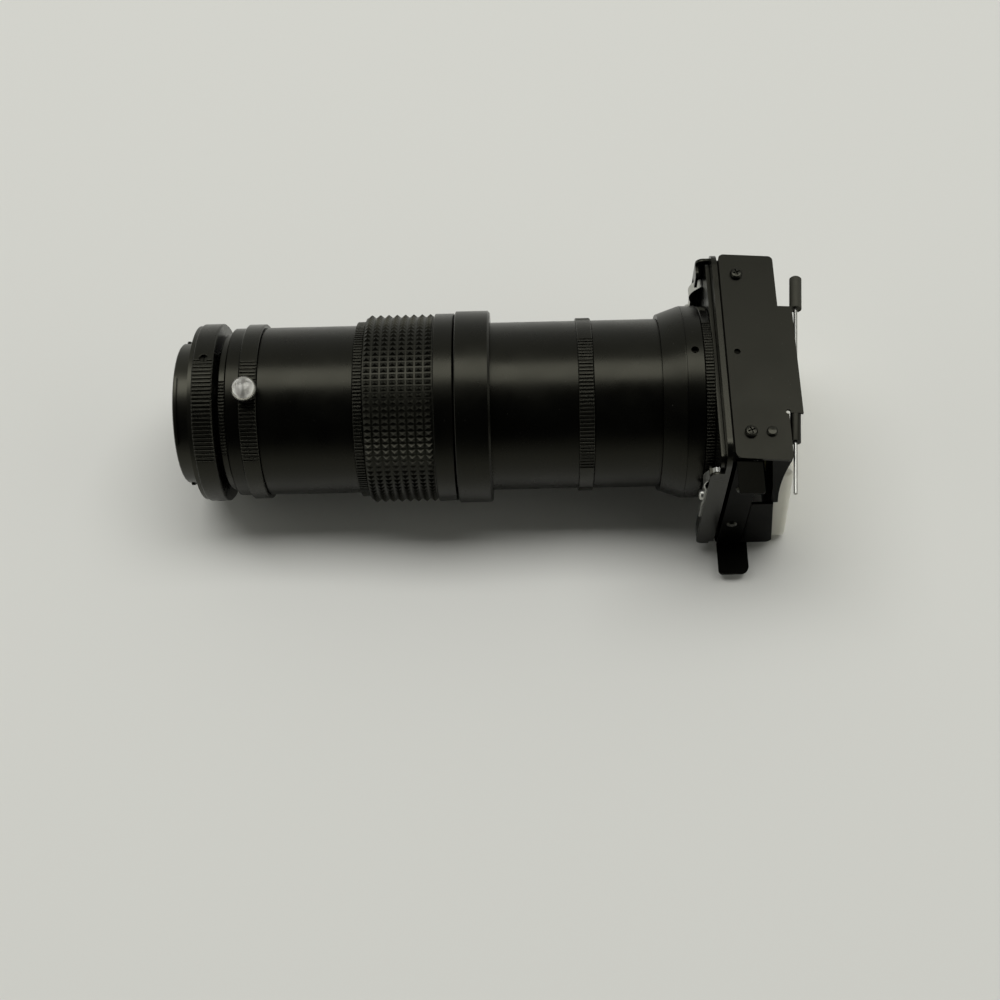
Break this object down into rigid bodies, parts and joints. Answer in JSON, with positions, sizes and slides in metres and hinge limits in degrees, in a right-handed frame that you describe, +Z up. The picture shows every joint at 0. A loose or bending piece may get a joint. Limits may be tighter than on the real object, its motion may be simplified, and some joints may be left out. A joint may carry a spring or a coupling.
{
  "type": "slide duplicator",
  "caption": "Zoom slide duplicator: bayonet camera adapter, zoom barrel with lens cell, and a turning, shifting slide stage with carrier, hinged gate and opal diffuser.",
  "frame": {"origin": "centre of the camera flange's mating face, on the optical axis", "axes": "+X along the optical axis from the camera to the slide stage, +Z up as the part lies with its thumb screw on top, +Y to the far side"},
  "size_m": [0.219, 0.0952, 0.0717],
  "materials": {
    "blackened_brass": "blackened brass, satin",
    "ribbed_black": "black anodised, ribbed",
    "barrel_black": "satin black anodised",
    "inner_black": "matt black anodised",
    "thumb_steel": "brushed, bright",
    "grip_rubber": "moulded black rubber",
    "lens_glass": "coated optical glass",
    "stage_gloss": "gloss black enamel",
    "stage_satin": "satin black enamel",
    "spring_steel": "bright spring steel",
    "screw_black": "blackened steel",
    "opal": "opal acrylic, diffuse",
    "sleeve_black": "soft black sleeve"
  },
  "bodies": {
    "camera_adapter": {"bayonet_flange": "blackened_brass", "flange_screws": "blackened_brass", "adapter_grip_ring": "ribbed_black", "thread_ring": "inner_black", "adapter_grub_screws": "screw_black", "jam_ring": "ribbed_black", "rear_sleeve": "barrel_black"},
    "barrel": {"clamp_collar": "ribbed_black", "rear_barrel": "barrel_black", "guide_tube": "inner_black"},
    "thumb_screw_body": {"thumb_screw": "thumb_steel"},
    "zoom_lock": {"zoom_lock_ring": "ribbed_black"},
    "zoom_grip_body": {"zoom_ring": "barrel_black", "zoom_grip": "grip_rubber"},
    "lens_group": {"lens_cell": "inner_black", "rear_lens": "lens_glass", "front_lens": "lens_glass", "aperture_stop": "inner_black", "lens_retaining_rings": "inner_black"},
    "front": {"front_barrel": "barrel_black", "front_tube": "barrel_black", "flared_ring": "barrel_black", "stage_collar": "barrel_black", "collar_set_screw": "screw_black"},
    "union": {"union_ring": "ribbed_black"},
    "stage_lock": {"stage_lock_ring": "ribbed_black"},
    "turntable": {"stage_hub": "inner_black", "hub_retaining_ring": "spring_steel", "hub_plate": "stage_gloss"},
    "stage": {"stage_base": "stage_gloss", "shift_springs": "spring_steel", "spring_screws": "spring_steel", "top_panel": "stage_satin", "lower_shell": "stage_satin", "upper_rail": "inner_black", "lower_rail": "inner_black", "rail_screws": "screw_black", "rail_rivets": "screw_black", "gate_hinge_pin": "spring_steel"},
    "carrier": {"slide_carrier": "stage_gloss", "carrier_handle": "stage_satin", "handle_rivets": "screw_black"},
    "gate": {"gate_frame": "stage_satin", "opal_diffuser": "opal"},
    "lever": {"lever_wire": "spring_steel", "lever_sleeve": "sleeve_black"}
  },
  "joints": [
    {"name": "barrel_turn", "type": "hinge", "parent": "camera_adapter", "child": "barrel", "pos_m": [0.02, 0, 0], "axis": [1, 0, 0], "continuous": true},
    {"name": "thumb_screw_turn", "type": "hinge", "parent": "barrel", "child": "thumb_screw_body", "pos_m": [0.02021, -0.0071, 0.02397], "axis": [0, -0.284, 0.9588], "range_deg": [0, 540]},
    {"name": "zoom_lock_turn", "type": "hinge", "parent": "barrel", "child": "zoom_lock", "pos_m": [0.058, 0, 0], "axis": [1, 0, 0], "range_deg": [0, 30]},
    {"name": "zoom_turn", "type": "hinge", "parent": "barrel", "child": "zoom_grip_body", "pos_m": [0.075, 0, 0], "axis": [1, 0, 0], "range_deg": [0, 110]},
    {"name": "lens_travel", "type": "slide", "parent": "barrel", "child": "lens_group", "axis": [1, 0, 0], "range_m": [0, 0.009]},
    {"name": "front_travel", "type": "slide", "parent": "barrel", "child": "front", "axis": [1, 0, 0], "range_m": [0, 0.012]},
    {"name": "union_turn", "type": "hinge", "parent": "front", "child": "union", "pos_m": [0.1363, 0, 0], "axis": [1, 0, 0], "range_deg": [0, 90]},
    {"name": "stage_lock_turn", "type": "hinge", "parent": "front", "child": "stage_lock", "pos_m": [0.1781, 0, 0], "axis": [1, 0, 0], "range_deg": [0, 60]},
    {"name": "stage_turn", "type": "hinge", "parent": "front", "child": "turntable", "pos_m": [0.175, 0, 0], "axis": [1, 0, 0], "range_deg": [-90, 90]},
    {"name": "stage_shift", "type": "slide", "parent": "turntable", "child": "stage", "axis": [0, 0, 1], "range_m": [-0.004, 0.004]},
    {"name": "carrier_slide", "type": "slide", "parent": "stage", "child": "carrier", "axis": [0, -1, 0], "range_m": [0, 0.05]},
    {"name": "gate_tilt", "type": "hinge", "parent": "stage", "child": "gate", "pos_m": [0.2, 0, 0.0301], "axis": [0, -1, 0], "range_deg": [-4.5, 9]},
    {"name": "lever_turn", "type": "hinge", "parent": "stage", "child": "lever", "pos_m": [0.2075, 0, 0.0322], "axis": [0.0968, 0.9953, 0], "range_deg": [0, 90]}
  ],
  "couplings": [
    {"joint": "lens_travel", "follows": "zoom_turn", "m_per_rad": 0.0046874},
    {"joint": "front_travel", "follows": "zoom_turn", "m_per_rad": 0.0062498}
  ]
}
